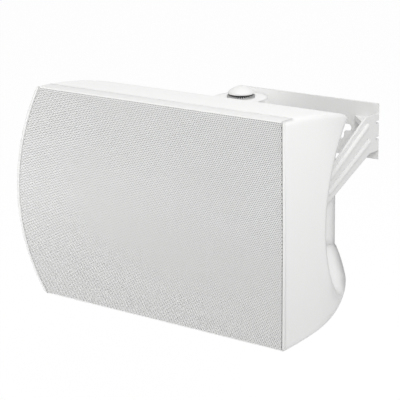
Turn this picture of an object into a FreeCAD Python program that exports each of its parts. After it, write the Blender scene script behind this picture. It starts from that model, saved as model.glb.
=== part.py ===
import FreeCAD, Part
import math
import os
from types import SimpleNamespace
import Sketcher

# Wall loudspeaker on a U bracket: two-way driver set in a moulded cabinet that tilts between two arms.
# Bracket frame: origin at the centre of the wall plate's back face, +Z up, -Y into the room.
# Cabinet frame: origin on the tilt axis, same directions.

doc = FreeCAD.newDocument("loudspeaker")
sheet = doc.addObject("Spreadsheet::Sheet", "sizes")

# Driving dimensions in millimetres
driving = {
    # wall bracket
    "plate_length": 165.6,
    "plate_height": 54.5,
    "sheet_gauge": 2.5,
    "bend_radius": 2.0,
    "pivot_reach": 113.0,
    "pivot_drop": 38.0,
    "arm_root_height": 36.0,
    "arm_upper_knee": 26.5,
    "arm_lower_knee": 19.5,
    "arm_pad_radius": 20.0,
    "bead_radius": 2.6,
    "bead_groove_radius": 1.5,
    "bead_inset": 13.0,
    "gusset_leg": 25.0,
    "gusset_width": 5.5,
    "clover_spacing": 80.0,
    "clover_reach": 11.7,
    "clover_slot": 7.0,
    "clover_bore": 12.0,
    # cabinet shell
    "cabinet_height": 200.0,
    "cabinet_width": 300.0,
    "end_bow": 13.0,
    "front_crown": 18.8,
    "front_depth": 129.5,
    "rear_depth": 42.5,
    "rear_height": 124.0,
    "crown_radius": 420.0,
    "end_straight": 42.0,
    "tail_width": 166.6,
    "wall": 4.0,
    "edge_round": 5.0,
    "waist_depth": 3.2,
    "waist_floor_radius": 54.0,
    "waist_floor_flare": 4.0,
    "waist_rim_radius": 98.0,
    "waist_rim_shift": 9.0,
    "boss_radius": 25.0,
    "boss_rise": 3.3,
    "boss_post_radius": 9.0,
    "boss_post_depth": 20.0,
    # front: lip, grille and baffle
    "lip": 3.0,
    "grille_gap": 0.5,
    "grille_gauge": 1.2,
    "perforation_pitch": 21.0,
    "perforation_radius": 6.6,
    "perforation_border": 4.0,
    "flange_depth": 15.0,
    "scrim_gauge": 1.0,
    "baffle_gauge": 8.0,
    "seat_gap": 0.2,
    "grille_screw_inset": 42.0,
    "grille_screw_length": 10.0,
    "grille_head_radius": 2.2,
    "baffle_screw_inset": 32.0,
    "baffle_screw_drop": 9.0,
    "baffle_post_radius": 7.0,
    "baffle_post_length": 14.0,
    # screws
    "screw_radius": 1.6,
    "screw_length": 12.0,
    "screw_head": 2.0,
    "screw_head_radius": 3.2,
    "screw_margin": 5.0,
    # knobs and inserts
    "knob_radius": 12.2,
    "knob_lift": 3.6,
    "knob_rim": 1.6,
    "knob_dome": 5.6,
    "knob_collar_radius": 7.0,
    "shank_radius": 3.0,
    "shank_length": 11.0,
    "insert_radius": 4.5,
    "insert_length": 12.0,
    "running_gap": 0.05,
    # woofer
    "woofer_margin": 34.0,
    "woofer_radius": 70.0,
    "motor_clearance": 10.5,
    "basket_share": 0.62,
    "cone_share": 0.6,
    "basket_gauge": 2.0,
    "woofer_flange": 4.0,
    "cone_radius": 48.0,
    "cone_gauge": 0.8,
    "roll_width": 11.0,
    "coil_radius": 12.5,
    "coil_gauge": 0.5,
    "gap_clearance": 0.4,
    "magnet_radius": 34.0,
    "pole_plate": 5.0,
    "spider_radius": 30.0,
    "spider_wave": 1.5,
    "glue_width": 2.0,
    "cap_width": 4.0,
    "cap_rise": 5.0,
    # tweeter
    "tweeter_margin": 30.0,
    "driver_gap": 24.0,
    "tweeter_radius": 36.0,
    "tweeter_flange": 3.5,
    "tweeter_dish": 6.0,
    "tweeter_plate": 4.0,
    "tweeter_glue": 6.0,
    "dome_roll": 3.5,
    "dome_radius": 12.5,
    "dome_rise": 5.0,
    "dome_gauge": 0.4,
    "tweeter_magnet_radius": 27.0,
    "tweeter_magnet_height": 17.0,
    # rear terminals and crossover
    "cup_width": 64.0,
    "cup_height": 44.0,
    "cup_depth": 16.0,
    "cup_wall": 2.0,
    "cup_flange": 5.0,
    "post_spacing": 20.0,
    "post_radius": 6.0,
    "post_length": 13.0,
    "stud_radius": 2.5,
    "board_width": 84.0,
    "board_height": 60.0,
    "board_gauge": 1.6,
    "standoff": 8.0,
}


class Size:
    """A length with its number and the sheet expression that gives it."""

    def __init__(self, value, text):
        self.value = float(value)
        self.text = text

    def joined(self, sign, other, value):
        return Size(value, f"({self.text} {sign} {other.text})")

    def __add__(self, other):
        other = as_size(other)
        return self.joined("+", other, self.value + other.value)

    def __sub__(self, other):
        other = as_size(other)
        return self.joined("-", other, self.value - other.value)

    def __mul__(self, other):
        other = as_size(other)
        return self.joined("*", other, self.value * other.value)

    def __truediv__(self, other):
        other = as_size(other)
        return self.joined("/", other, self.value / other.value)

    def __radd__(self, other):
        return as_size(other) + self

    def __rsub__(self, other):
        return as_size(other) - self

    def __rmul__(self, other):
        return as_size(other) * self

    def __neg__(self):
        return Size(-self.value, f"(0 - {self.text})")


def as_size(number):
    return number if isinstance(number, Size) else Size(number, f"{number:.6f}")


def root(size):
    return Size(math.sqrt(size.value), f"sqrt({size.text})")


def whole(size):
    return Size(math.floor(size.value), f"floor({size.text})")


for row, (alias, value) in enumerate(driving.items(), start=1):
    sheet.set(f"A{row}", alias)
    sheet.set(f"B{row}", str(value))
    sheet.setAlias(f"B{row}", alias)
doc.recompute()
s = SimpleNamespace(**{alias: Size(value, f"sizes.{alias}") for alias, value in driving.items()})


# Drawing helpers

def bind(thing, name, size):
    """Ties a property to the sheet."""
    thing.setExpression(name, as_size(size).text)


def place(thing, position, turn=None):
    """Puts a piece at a position made of sheet sizes; turn is an axis and an angle expression."""
    if turn:
        axis, angle = turn
        thing.Placement = FreeCAD.Placement(FreeCAD.Vector(), FreeCAD.Rotation(FreeCAD.Vector(*axis), 1))
        thing.setExpression("Placement.Rotation.Angle", angle)
    for letter, size in zip("xyz", position):
        bind(thing, f"Placement.Base.{letter}", size)


def in_cabinet(x, y, z):
    """A position given from the tilt axis."""
    return (as_size(x), y - s.pivot_reach, z - s.pivot_drop)


def into_cabinet(thing):
    """Carries a piece that was built about the tilt axis to its place in the bracket frame."""
    place(thing, in_cabinet(0, as_size(0), as_size(0)))
    return thing


def origin_plane(body, role):
    return next(feature for feature in body.Origin.OriginFeatures if feature.Role == role)


def new_sketch(body, plane, level=None):
    sketch = body.newObject("Sketcher::SketchObject", f"{body.Name}_{plane[:2].lower()}")
    sketch.AttachmentSupport = (origin_plane(body, plane), [""])
    sketch.MapMode = "FlatFace"
    if level is not None:
        bind(sketch, "AttachmentOffset.Base.z", level)
    return sketch


def pin_point(sketch, geo, end, x, y):
    """Fixes one end of an edge by its distances from the sketch origin."""
    for kind, axis, size in (("DistanceX", -2, x), ("DistanceY", -1, y)):
        if not isinstance(size, Size) and size == 0:
            sketch.addConstraint(Sketcher.Constraint("PointOnObject", geo, end, axis))
            continue
        size = as_size(size)
        index = sketch.addConstraint(Sketcher.Constraint(kind, -1, 1, geo, end, size.value))
        sketch.setExpression(f"Constraints[{index}]", size.text)


def arc_between(start, stop, radius, side):
    """The circular arc from start to stop that bulges to the left (side 1) or right (side -1) of travel."""
    chord = stop - start
    reach = math.sqrt(max(radius ** 2 - (chord.Length / 2) ** 2, 0))
    left = FreeCAD.Vector(-chord.y, chord.x, 0).normalize()
    centre = (start + stop) * 0.5 - left * (reach * side)
    first, last = (stop, start) if side > 0 else (start, stop)
    begin = math.atan2(first.y - centre.y, first.x - centre.x)
    finish = math.atan2(last.y - centre.y, last.x - centre.x)
    if finish < begin:
        finish += 2 * math.pi
    circle = Part.Circle(centre, FreeCAD.Vector(0, 0, 1), radius)
    return Part.ArcOfCircle(circle, begin, finish)


def draw_loop(sketch, corners):
    """Draws a closed loop of corners (x, y), or (x, y, radius, side) where an arc leads to the next."""
    points = [FreeCAD.Vector(as_size(c[0]).value, as_size(c[1]).value, 0) for c in corners]
    edges = []
    for here, corner in enumerate(corners):
        start, stop = points[here], points[(here + 1) % len(points)]
        if len(corner) == 2:
            geo = sketch.addGeometry(Part.LineSegment(start, stop))
            edges.append((geo, 1, 2))
            continue
        radius, side = as_size(corner[2]), corner[3]
        geo = sketch.addGeometry(arc_between(start, stop, radius.value, side))
        edges.append((geo, 2, 1) if side > 0 else (geo, 1, 2))
    for here, (geo, first, last) in enumerate(edges):
        after, after_first, _ = edges[(here + 1) % len(edges)]
        sketch.addConstraint(Sketcher.Constraint("Coincident", geo, last, after, after_first))
        pin_point(sketch, geo, first, corners[here][0], corners[here][1])
        if len(corners[here]) == 4:
            radius = as_size(corners[here][2])
            index = sketch.addConstraint(Sketcher.Constraint("Radius", geo, radius.value))
            sketch.setExpression(f"Constraints[{index}]", radius.text)


def new_body(label):
    body = doc.addObject("PartDesign::Body", label)
    body.Label = label
    return body


def prism(label, plane, loops, length):
    """A sketch padded to both sides of its plane."""
    body = new_body(label)
    sketch = new_sketch(body, plane)
    for loop in loops:
        draw_loop(sketch, loop)
    pad = body.newObject("PartDesign::Pad", f"{label}_pad")
    pad.Profile = sketch
    pad.Midplane = True
    bind(pad, "Length", length)
    return body


def turned(label, profile, position=None, turn=None):
    """A half profile of (radius, height) corners turned about its own Z axis."""
    body = new_body(label)
    sketch = new_sketch(body, "XZ_Plane")
    draw_loop(sketch, profile)
    spin = body.newObject("PartDesign::Revolution", f"{label}_spin")
    spin.Profile = sketch
    spin.ReferenceAxis = (sketch, ["V_Axis"])
    spin.Angle = 360
    if position:
        place(body, position, turn)
    return body


def block(label, lengths, corner):
    box = doc.addObject("Part::Box", label)
    for name, size in zip(("Length", "Width", "Height"), lengths):
        bind(box, name, size)
    place(box, corner)
    return box


def rod(label, radius, length, position, turn=None):
    cylinder = doc.addObject("Part::Cylinder", label)
    bind(cylinder, "Radius", radius)
    bind(cylinder, "Height", length)
    place(cylinder, position, turn)
    return cylinder


def fused(label, pieces):
    joint = doc.addObject("Part::MultiFuse", label)
    joint.Shapes = pieces
    joint.Label = label
    return joint


def cut(label, base, tools):
    tool = tools[0] if len(tools) == 1 else fused(f"{label}_tools", tools)
    result = doc.addObject("Part::Cut", label)
    result.Base = base
    result.Tool = tool
    result.Label = label
    return result


def mirrored(label, source):
    """The same piece on the other side of the YZ plane."""
    copy = doc.addObject("Part::Mirroring", label)
    copy.Source = source
    copy.Normal = FreeCAD.Vector(1, 0, 0)
    copy.Label = label
    return copy


def group(label, pieces):
    """Separate solids that share one node."""
    compound = doc.addObject("Part::Compound", label)
    compound.Links = pieces
    compound.Label = label
    return compound


along_x = ((0, 1, 0), "90 deg")
against_x = ((0, 1, 0), "-90 deg")
to_front = ((1, 0, 0), "90 deg")
to_rear = ((1, 0, 0), "-90 deg")
upside_down = ((1, 0, 0), "180 deg")


# Wall bracket: one folded sheet with beads along the arms and pressed gussets at its two bends

half_span = s.plate_length / 2
arm_inner = half_span - s.sheet_gauge
plate_half = s.plate_height / 2
root_half = s.arm_root_height / 2
arm_end = s.pivot_reach + s.arm_pad_radius + 2
outer_bend = s.bend_radius + s.sheet_gauge
upper_end = (-(s.pivot_reach - 0.7 * s.arm_pad_radius), -(s.pivot_drop - 0.6 * s.arm_pad_radius))
lower_end = (-(s.pivot_reach - 0.42 * s.arm_pad_radius), -(s.pivot_drop + 0.91 * s.arm_pad_radius))
upper_knee = (-s.arm_upper_knee, root_half)
lower_knee = (-s.arm_lower_knee, -root_half)


def between(first, second, share):
    return tuple(a + (b - a) * share for a, b in zip(first, second))


def bracket_sheet():
    """The folded strip in plan, tall enough for plate and arms."""
    loop = [
        (-half_span, -outer_bend, outer_bend, 1),
        (outer_bend - half_span, 0),
        (half_span - outer_bend, 0, outer_bend, 1),
        (half_span, -outer_bend),
        (half_span, -arm_end),
        (arm_inner, -arm_end),
        (arm_inner, -outer_bend, s.bend_radius, -1),
        (arm_inner - s.bend_radius, -s.sheet_gauge),
        (s.bend_radius - arm_inner, -s.sheet_gauge, s.bend_radius, -1),
        (-arm_inner, -outer_bend),
        (-arm_inner, -arm_end),
        (-half_span, -arm_end),
    ]
    return prism("bracket_strip", "XY_Plane", [loop], 3 * (s.pivot_drop + s.arm_pad_radius))


def bracket_side():
    """What is left of the strip when seen from the side: plate, tapering arm and round pad."""
    loop = [
        (s.sheet_gauge, plate_half),
        (s.sheet_gauge, -plate_half),
        (-s.sheet_gauge, -plate_half),
        (-s.sheet_gauge, -root_half),
        lower_knee,
        lower_end,
        upper_end,
        upper_knee,
        (-s.sheet_gauge, root_half),
        (-s.sheet_gauge, plate_half),
    ]
    prism_side = prism("bracket_outline", "YZ_Plane", [loop], 2 * s.plate_length)
    pad = rod("bracket_pad", s.arm_pad_radius, 2 * s.plate_length,
              (-s.plate_length, -s.pivot_reach, -s.pivot_drop), along_x)
    return fused("bracket_silhouette", [prism_side, pad])


def bead(label, radius, level, share):
    """A round-ended rod along the arm, at a share of the arm's width above its lower edge."""
    start = between(lower_knee, upper_knee, share)
    stop = between(lower_end, upper_end, share)
    run = tuple(b - a for a, b in zip(start, stop))
    length = root(run[0] * run[0] + run[1] * run[1]) - s.bead_inset
    profile = [(0, -radius, radius, -1), (radius, 0), (radius, length, radius, -1), (0, length + radius)]
    angle = f"90 deg + atan({run[1].text} / {run[0].text})"
    return turned(label, profile, (level,) + start, ((1, 0, 0), angle))


def gusset(label, leg, width, corner, height):
    """A triangular web across the inside of a bend, or the dent behind it."""
    loop = [corner, (corner[0], corner[1] - leg), (corner[0] - leg, corner[1])]
    web = prism(label, "XY_Plane", [loop], width)
    place(web, (as_size(0), as_size(0), height))
    return web


def clover(label, x):
    """The cross-shaped keyhole: two crossed slots and a wider middle."""
    pieces = []
    half_slot = s.clover_slot / 2
    arm = s.clover_reach - half_slot
    depth = 4 * s.sheet_gauge
    for number, (dx, dz) in enumerate(((1, 0), (-1, 0), (0, 1), (0, -1))):
        pieces.append(rod(f"{label}_end{number}", half_slot, depth,
                          (x + dx * arm, -2 * s.sheet_gauge, dz * arm), to_rear))
    pieces.append(block(f"{label}_wide", (2 * arm, depth, s.clover_slot),
                        (x - arm, -2 * s.sheet_gauge, -half_slot)))
    pieces.append(block(f"{label}_tall", (s.clover_slot, depth, 2 * arm),
                        (x - half_slot, -2 * s.sheet_gauge, -arm)))
    pieces.append(rod(f"{label}_middle", s.clover_bore / 2, depth,
                      (x, -2 * s.sheet_gauge, as_size(0)), to_rear))
    return pieces


def wall_bracket():
    blank = doc.addObject("Part::MultiCommon", "bracket_blank")
    blank.Shapes = [bracket_sheet(), bracket_side()]
    added, taken = [blank], []
    bead_shares = (0.34, 0.78)
    for number, share in enumerate(bead_shares):
        ridge = bead(f"bead{number}", s.bead_radius, half_span, share)
        groove = bead(f"bead_groove{number}", s.bead_groove_radius, arm_inner, share)
        height = between(lower_knee, upper_knee, share)[1]
        web = gusset(f"gusset{number}", s.gusset_leg, s.gusset_width, (arm_inner, -s.sheet_gauge), height)
        dent = gusset(f"dent{number}", s.gusset_leg / 3, s.gusset_width - s.sheet_gauge,
                      (half_span, as_size(0)), height)
        added += [ridge, mirrored(f"bead{number}_left", ridge), web, mirrored(f"gusset{number}_left", web)]
        taken += [groove, mirrored(f"bead_groove{number}_left", groove)]
        taken += [dent, mirrored(f"dent{number}_left", dent)]
    for side in (-1, 1):
        taken += clover(f"clover{side + 1}", side * s.clover_spacing / 2)
    taken.append(rod("pivot_hole", s.shank_radius + s.running_gap, 2 * s.plate_length,
                     (-s.plate_length, -s.pivot_reach, -s.pivot_drop), along_x))
    return cut("wall_bracket", fused("bracket_pressed", added), taken)


# Cabinet form: a crowned front, arched top and bottom, bowed ends that sweep in to the tail

half_height = s.cabinet_height / 2
half_width = s.cabinet_width / 2
rear_half = s.rear_height / 2
front = -s.front_depth
bow_radius = (half_height * half_height + s.end_bow * s.end_bow) / (2 * s.end_bow)
front_radius = (half_height * half_height + s.front_crown * s.front_crown) / (2 * s.front_crown)
sweep_in = half_width - s.tail_width / 2
sweep_run = s.rear_depth + s.front_depth - s.end_straight
end_radius = (sweep_in * sweep_in + sweep_run * sweep_run) / (2 * sweep_in)
flange_back = front + s.flange_depth

# height of the arched top over the tilt axis, where the clamp bosses stand up from it
arch_run, arch_drop = s.rear_depth - front, half_height - rear_half
arch_chord = root(arch_run * arch_run + arch_drop * arch_drop)
arch_sink = root(s.crown_radius * s.crown_radius - arch_chord * arch_chord / 4)
arch_y = (front + s.rear_depth) / 2 - arch_sink * arch_drop / arch_chord
arch_z = (half_height + rear_half) / 2 - arch_sink * arch_run / arch_chord
roof = arch_z + root(s.crown_radius * s.crown_radius - arch_y * arch_y)
boss_height = roof + s.boss_rise


def swept_ends(body, inset):
    """Trims both ends of a prism with the bowed, swept end surface, set in by the given amount."""
    sketch = new_sketch(body, "XY_Plane")
    turn_in = front + s.end_straight
    radius = end_radius - inset
    past = s.rear_depth + s.wall
    reach = past - turn_in
    edge = half_width - inset
    tail = edge - radius + root(radius * radius - reach * reach)
    outside = half_width + 4 * s.end_bow
    ahead = front - 2 * s.front_crown
    draw_loop(sketch, [
        (edge, ahead),
        (edge, turn_in, radius, -1),
        (tail, past),
        (outside, past),
        (outside, ahead),
    ])
    axis = sketch.addGeometry(Part.LineSegment(FreeCAD.Vector(-1, 0, 0), FreeCAD.Vector(-1, 1, 0)), True)
    pin_point(sketch, axis, 1, half_width - bow_radius, ahead)
    pin_point(sketch, axis, 2, half_width - bow_radius, past)
    trim = body.newObject("PartDesign::Groove", f"{body.Name}_end")
    trim.Profile = sketch
    trim.ReferenceAxis = (sketch, ["Axis0"])
    trim.Angle = 60
    trim.Midplane = True
    both = body.newObject("PartDesign::Mirrored", f"{body.Name}_ends")
    both.Originals = [trim]
    both.MirrorPlane = (origin_plane(body, "YZ_Plane"), [""])
    body.Tip = both
    return body


def form(label, loop, inset):
    """A side profile carried across the cabinet and trimmed by the end surfaces."""
    return swept_ends(prism(label, "YZ_Plane", [loop], s.cabinet_width + 2), inset)


def shell_loop(inset, front_edge, crowned):
    top, rear, rear_top = half_height - inset, s.rear_depth - inset, rear_half - inset
    radius = s.crown_radius - inset
    face = (front_edge, -top, front_radius, 1) if crowned else (front_edge, -top)
    return [(front_edge, top, radius, 1), (rear, rear_top), (rear, -rear_top, radius, 1), face]


def waist(label, grow):
    """The scoop in one end that leaves room for the bracket arm to swing."""
    floor = arm_inner - s.waist_depth - s.seat_gap - grow
    outer = half_width + s.wall
    past = s.rear_depth + s.wall
    body = new_body(label)
    low_radius, high_radius = s.waist_floor_radius + grow, s.waist_rim_radius + grow
    levels = (
        (floor, as_size(0), low_radius, low_radius + s.waist_floor_flare),
        (outer, s.waist_rim_shift, high_radius, high_radius + 3 * s.waist_floor_flare),
    )
    sketches = []
    for level, middle, radius, rear in levels:
        sketch = new_sketch(body, "YZ_Plane", level)
        draw_loop(sketch, [
            (past, -rear), (middle, -radius, radius, 1), (middle - radius, 0, radius, 1),
            (middle, radius), (past, rear)])
        sketches.append(sketch)
    loft = body.newObject("PartDesign::AdditiveLoft", f"{label}_loft")
    loft.Profile = sketches[0]
    loft.Sections = [sketches[1]]
    return body


def rounded_form():
    """The outer form with soft edges where top, bottom and tail meet the ends."""
    body = form("cabinet_form", shell_loop(as_size(0), front, True), as_size(0))
    doc.recompute()
    edges = []
    for number, edge in enumerate(body.Shape.Edges, start=1):
        box = edge.BoundBox
        on_front = box.YMin < front.value + 1 and edge.Length > s.end_straight.value + 10
        seam = box.YLength < 0.1 and box.YMax < 0
        if not on_front and not seam:
            edges.append(f"Edge{number}")
    sharp = body.Tip
    soft = body.newObject("PartDesign::Fillet", "cabinet_soft_edges")
    soft.Base = (sharp, edges)
    bind(soft, "Radius", s.edge_round)
    body.Tip = soft
    return body


def cabinet():
    outer = rounded_form()
    scoop, thick_scoop = waist("waist", as_size(0)), waist("waist_wall", s.wall)
    scoops = [scoop, mirrored("waist_left", scoop)]
    room = form("cabinet_room", shell_loop(s.wall, flange_back, False), s.wall)
    room = cut("cabinet_hollow", room, [thick_scoop, mirrored("waist_wall_left", thick_scoop)])
    ahead = front - 2 * s.front_crown
    opening = form("cabinet_mouth", [
        (ahead, s.cabinet_height), (flange_back, s.cabinet_height),
        (flange_back, -s.cabinet_height), (ahead, -s.cabinet_height)], s.lip)
    shell = cut("cabinet_shell", outer, scoops + [room, opening])

    pieces, bores = [shell], []
    bore = s.insert_radius
    side_face = arm_inner - s.seat_gap
    for side in (-1, 1):
        name = "top" if side > 0 else "bottom"
        turn = None if side > 0 else upside_down
        low = boss_height - s.boss_post_depth
        spot = (as_size(0), as_size(0), side * low)
        pieces.append(rod(f"boss_{name}", s.boss_radius, s.boss_post_depth, spot, turn))
        shoulder = block(f"boss_{name}_shoulder", (2 * s.boss_radius, s.boss_radius, s.boss_post_depth),
                         (-s.boss_radius, -s.boss_radius, low if side > 0 else -boss_height))
        pieces.append(shoulder)
        bores.append(rod(f"bore_{name}", bore, s.insert_length,
                         (as_size(0), as_size(0), side * (boss_height - s.insert_length)), turn))
        name = "right" if side > 0 else "left"
        turn = along_x if side > 0 else against_x
        pieces.append(rod(f"boss_{name}", s.boss_radius, s.waist_depth + s.wall,
                          (side * (side_face - s.waist_depth - s.wall), as_size(0), as_size(0)), turn))
        pieces.append(rod(f"post_{name}", s.boss_post_radius, s.boss_post_depth,
                          (side * (side_face - s.boss_post_depth), as_size(0), as_size(0)), turn))
        bores.append(rod(f"bore_{name}", bore, s.insert_length,
                         (side * (side_face - s.insert_length), as_size(0), as_size(0)), turn))
    for number, spot in enumerate(baffle_screw_spots()):
        pieces.append(rod(f"baffle_post{number}", s.baffle_post_radius, s.baffle_post_length,
                          (spot[0], flange_back, spot[2]), to_rear))
    bores += screw_holes("post_hole", baffle_screw_spots(), to_rear)
    bores += screw_holes("rear_hole", cup_screw_spots(), to_front)
    hole_width = s.cup_width - 2 * s.cup_flange
    hole_height = s.cup_height - 2 * s.cup_flange
    bores.append(block("cup_window", (hole_width, 3 * s.wall, hole_height),
                       (-hole_width / 2, s.rear_depth - 2 * s.wall, -hole_height / 2)))
    return into_cabinet(cut("cabinet", fused("cabinet_bossed", pieces), bores))


# Front: perforated grille with flanges over the top and bottom edges, its cloth, and the driver baffle

crown_centre = front - s.front_crown + front_radius
baffle_face = flange_back - s.baffle_gauge
baffle_half = half_height - s.grille_gauge - s.seat_gap
spare_width = s.cabinet_width - 2 * (s.woofer_radius + s.tweeter_radius)
margin_sum = s.woofer_margin + s.driver_gap + s.tweeter_margin
woofer_x = s.woofer_radius + spare_width * s.woofer_margin / margin_sum - half_width
tweeter_x = half_width - spare_width * s.tweeter_margin / margin_sum - s.tweeter_radius


def crown_at(depth, height):
    """How far forward a sheet set back by depth from the crowned front reaches at a height."""
    radius = front_radius - depth
    return crown_centre - root(radius * radius - height * height)


def perforated(body):
    """Punches staggered rows of holes through the sheet, with the open share of the real, finer ones."""
    pitch, radius = s.perforation_pitch, s.perforation_radius
    row = pitch * math.sqrt(3) / 2
    margin = s.lip + s.grille_gap + s.perforation_border + radius
    across = s.cabinet_width - 2 * (s.end_bow + margin) - pitch / 2
    along = s.cabinet_height - 2 * margin - row
    columns, rows = whole(across / pitch), whole(along / (2 * row))
    corner = (-(columns * pitch + pitch / 2) / 2, -(2 * rows * row + row) / 2)
    sketch = new_sketch(body, "XZ_Plane")
    for x, z in (corner, (corner[0] + pitch / 2, corner[1] + row)):
        circle = Part.Circle(FreeCAD.Vector(x.value, z.value, 0), FreeCAD.Vector(0, 0, 1), radius.value)
        geo = sketch.addGeometry(circle)
        pin_point(sketch, geo, 3, x, z)
        index = sketch.addConstraint(Sketcher.Constraint("Radius", geo, radius.value))
        sketch.setExpression(f"Constraints[{index}]", radius.text)
    punch = body.newObject("PartDesign::Pocket", "grille_punch")
    punch.Profile = sketch
    punch.Type = "ThroughAll"
    punch.Midplane = True
    field = body.newObject("PartDesign::LinearPattern", "grille_field")
    field.Originals = [punch]
    field.Direction = (sketch, ["H_Axis"])
    bind(field, "Length", columns * pitch)
    bind(field, "Occurrences", columns + 1)
    field.Direction2 = (sketch, ["V_Axis"])
    bind(field, "Length2", 2 * rows * row)
    bind(field, "Occurrences2", rows + 1)
    body.Tip = field
    return body


def grille():
    back = flange_back - s.grille_gap
    inner = half_height - s.grille_gauge
    bend = crown_at(s.grille_gauge, inner)
    loop = [
        (back, half_height),
        (front, half_height, front_radius, -1),
        (front, -half_height),
        (back, -half_height),
        (back, -inner),
        (bend, -inner, front_radius - s.grille_gauge, 1),
        (bend, inner),
        (back, inner),
    ]
    sheet_form = perforated(form("grille_sheet", loop, s.lip + s.grille_gap))
    holes = [rod(f"grille_hole_{name}", s.grille_head_radius + s.running_gap, 4 * s.grille_gauge, spot)
             for name, spot, _ in grille_screw_spots(2 * s.grille_gauge)]
    return into_cabinet(cut("grille", sheet_form, holes))


def grille_screw_spots(below):
    """Where the four grille screws go in: name, position and turn, a little below the flange's face."""
    spots = []
    for side in (-1, 1):
        for level in (-1, 1):
            name = f"{'top' if level > 0 else 'bottom'}_{'right' if side > 0 else 'left'}"
            height = half_height - below if level > 0 else -(half_height + below)
            spot = (side * (half_width - s.grille_screw_inset), baffle_face + s.baffle_gauge / 2, height)
            spots.append((name, spot, level))
    return spots


def grille_scrim():
    depth = s.grille_gauge + s.seat_gap
    top = half_height - 2 * s.lip
    loop = [
        (crown_at(depth, top), top, front_radius - depth, -1),
        (crown_at(depth, top), -top),
        (crown_at(depth + s.scrim_gauge, top), -top, front_radius - depth - s.scrim_gauge, 1),
        (crown_at(depth + s.scrim_gauge, top), top),
    ]
    return into_cabinet(form("grille_scrim", loop, s.lip + 3 * s.grille_gap))


def baffle():
    loop = [(baffle_face, baffle_half), (flange_back, baffle_half),
            (flange_back, -baffle_half), (baffle_face, -baffle_half)]
    board = form("baffle_board", loop, s.lip + s.grille_gap)
    depth = 3 * s.baffle_gauge
    ahead = baffle_face - s.baffle_gauge
    holes = [
        rod("woofer_cutout", woofer_neck + s.seat_gap, depth, (woofer_x, ahead, as_size(0)), to_rear),
        rod("tweeter_cutout", s.tweeter_magnet_radius + s.grille_gap, depth,
            (tweeter_x, ahead, as_size(0)), to_rear),
    ]
    holes += [rod(f"baffle_hole_{name}", s.screw_radius + s.running_gap, 2 * s.grille_screw_length, spot)
              for name, spot, _ in grille_screw_spots(s.grille_screw_length)]
    holes += screw_holes("driver_hole", driver_screw_spots(), to_rear)
    holes += screw_holes("corner_hole", baffle_screw_spots(), to_rear)
    return into_cabinet(cut("baffle", board, holes))


def baffle_screw_spots():
    """The four corner screws that hold the baffle to the cabinet's posts."""
    return [(side * (half_width - s.baffle_screw_inset), baffle_face, level * (baffle_half - s.baffle_screw_drop))
            for side in (-1, 1) for level in (-1, 1)]


def driver_screw_spots():
    """Four screws around the woofer and three around the tweeter, on the drivers' flanges."""
    spots = []
    for centre, circle, count, flange in (
            (woofer_x, s.woofer_radius - s.screw_margin, 4, s.woofer_flange),
            (tweeter_x, s.tweeter_radius - s.screw_margin, 3, s.tweeter_flange)):
        for number in range(count):
            angle = math.radians(90 + 360 / count * (number + 0.5))
            spots.append((centre + circle * math.cos(angle), baffle_face - flange, circle * math.sin(angle)))
    return spots


def screw_holes(label, spots, turn):
    """Clearance rods along a set of screws, past both ends of each shank."""
    ahead = s.screw_length if turn is to_front else -s.screw_length
    return [rod(f"{label}{number}", s.screw_radius + s.running_gap, 3 * s.screw_length,
                (spot[0], spot[1] + ahead, spot[2]), turn) for number, spot in enumerate(spots)]


def screw(label, position, turn, head_radius):
    """A pan-head screw, its head's underside at the position."""
    profile = [
        (0, -s.screw_length), (s.screw_radius, -s.screw_length), (s.screw_radius, 0), (head_radius, 0),
        (head_radius, s.screw_head / 2), (0.6 * head_radius, s.screw_head), (0, s.screw_head)]
    return turned(label, profile, position, turn)


def grille_screws():
    pieces = []
    for name, spot, level in grille_screw_spots(s.grille_gauge):
        tip = -s.grille_screw_length / 2
        profile = [
            (0, tip), (s.screw_radius, tip), (s.screw_radius, 0), (s.grille_head_radius, 0),
            (s.grille_head_radius, s.grille_gauge), (0, s.grille_gauge)]
        seat = in_cabinet(spot[0], spot[1], level * (half_height - s.grille_gauge))
        pieces.append(turned(f"grille_screw_{name}", profile, seat, None if level > 0 else upside_down))
    return group("grille_screws", pieces)


def driver_screws():
    spots = driver_screw_spots()
    pieces = [screw(f"driver_screw{number}", in_cabinet(*spot), to_front, s.screw_head_radius)
              for number, spot in enumerate(spots)]
    return [group("woofer_screws", pieces[:4]), group("tweeter_screws", pieces[4:])]


def baffle_screws():
    pieces = [screw(f"baffle_screw{number}", in_cabinet(*spot), to_front, s.screw_head_radius)
              for number, spot in enumerate(baffle_screw_spots())]
    return group("baffle_screws", pieces)


# Woofer: turned pieces, height 0 at the baffle's face, forward positive

woofer_neck = s.cone_radius + s.roll_width + 1
driver_room = -baffle_face - s.waist_floor_radius - s.motor_clearance
basket_depth = driver_room * s.basket_share
basket_back = -basket_depth
ledge = basket_back + basket_depth / 3
plate_back = basket_back - s.pole_plate
magnet_back = s.pole_plate - driver_room
yoke_back = -driver_room
coil_outer = s.coil_radius + s.coil_gauge
cone_depth = basket_depth * s.cone_share
cone_low = s.woofer_flange - cone_depth


def woofer_piece(label, profile):
    return turned(label, profile, in_cabinet(woofer_x, baffle_face, as_size(0)), to_front)


def woofer_frame(profile):
    basket = turned("woofer_basket", profile, (woofer_x, baffle_face, as_size(0)), to_front)
    holes = screw_holes("woofer_hole", driver_screw_spots()[:4], to_rear)
    return into_cabinet(cut("woofer_frame", basket, holes))


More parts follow.
